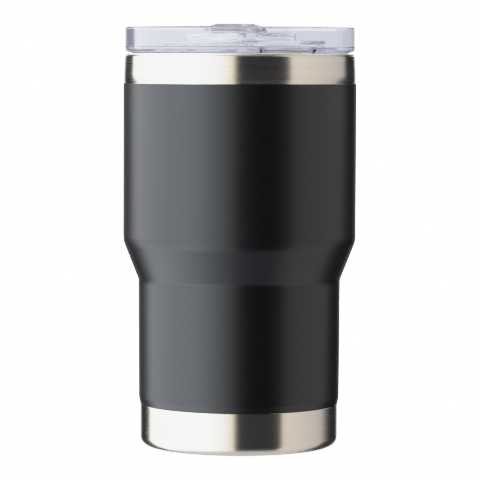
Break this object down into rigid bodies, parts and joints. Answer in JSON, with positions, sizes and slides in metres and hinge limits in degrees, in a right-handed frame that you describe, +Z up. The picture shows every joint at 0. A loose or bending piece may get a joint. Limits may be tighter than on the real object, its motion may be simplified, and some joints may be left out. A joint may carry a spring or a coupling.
{
  "type": "insulated tumbler",
  "caption": "Stepped double-wall steel tumbler with a black coated body, bare brushed rim and base, and a clear press-in lid with a sliding drinking closure.",
  "frame": {"origin": "on the floor under the centre of the base", "axes": "+Z up along the cup's axis; -Y towards the drinking side of the lid; +Y is the way the slider opens"},
  "size_m": [0.088, 0.088, 0.1595],
  "materials": {
    "brushed_steel": "brushed around the axis",
    "black_coat": "satin powder coat",
    "liner_steel": "fine satin, electropolished",
    "clear_plastic": "clear, polished",
    "silicone": "translucent, matte",
    "sealing_glass": "fused glass bead",
    "getter_alloy": "sintered, matte"
  },
  "bodies": {
    "cup": {"outer_shell": "brushed_steel", "black_coat": "black_coat", "base_cup": "brushed_steel", "base_disc": "brushed_steel", "inner_liner": "liner_steel", "liner_bottom": "liner_steel", "seal_bead": "sealing_glass", "getter": "getter_alloy", "getter_clip": "liner_steel"},
    "lid": {"lid_body": "clear_plastic", "lid_gasket": "silicone"},
    "slider": {"slider": "clear_plastic", "slider_retainer": "clear_plastic", "slider_seal": "silicone"}
  },
  "joints": [
    {"name": "lid_lift", "type": "slide", "parent": "cup", "child": "lid", "axis": [0, 0, 1], "range_m": [0, 0.04]},
    {"name": "slider_open", "type": "slide", "parent": "lid", "child": "slider", "axis": [0, 1, 0], "range_m": [0, 0.011]}
  ]
}
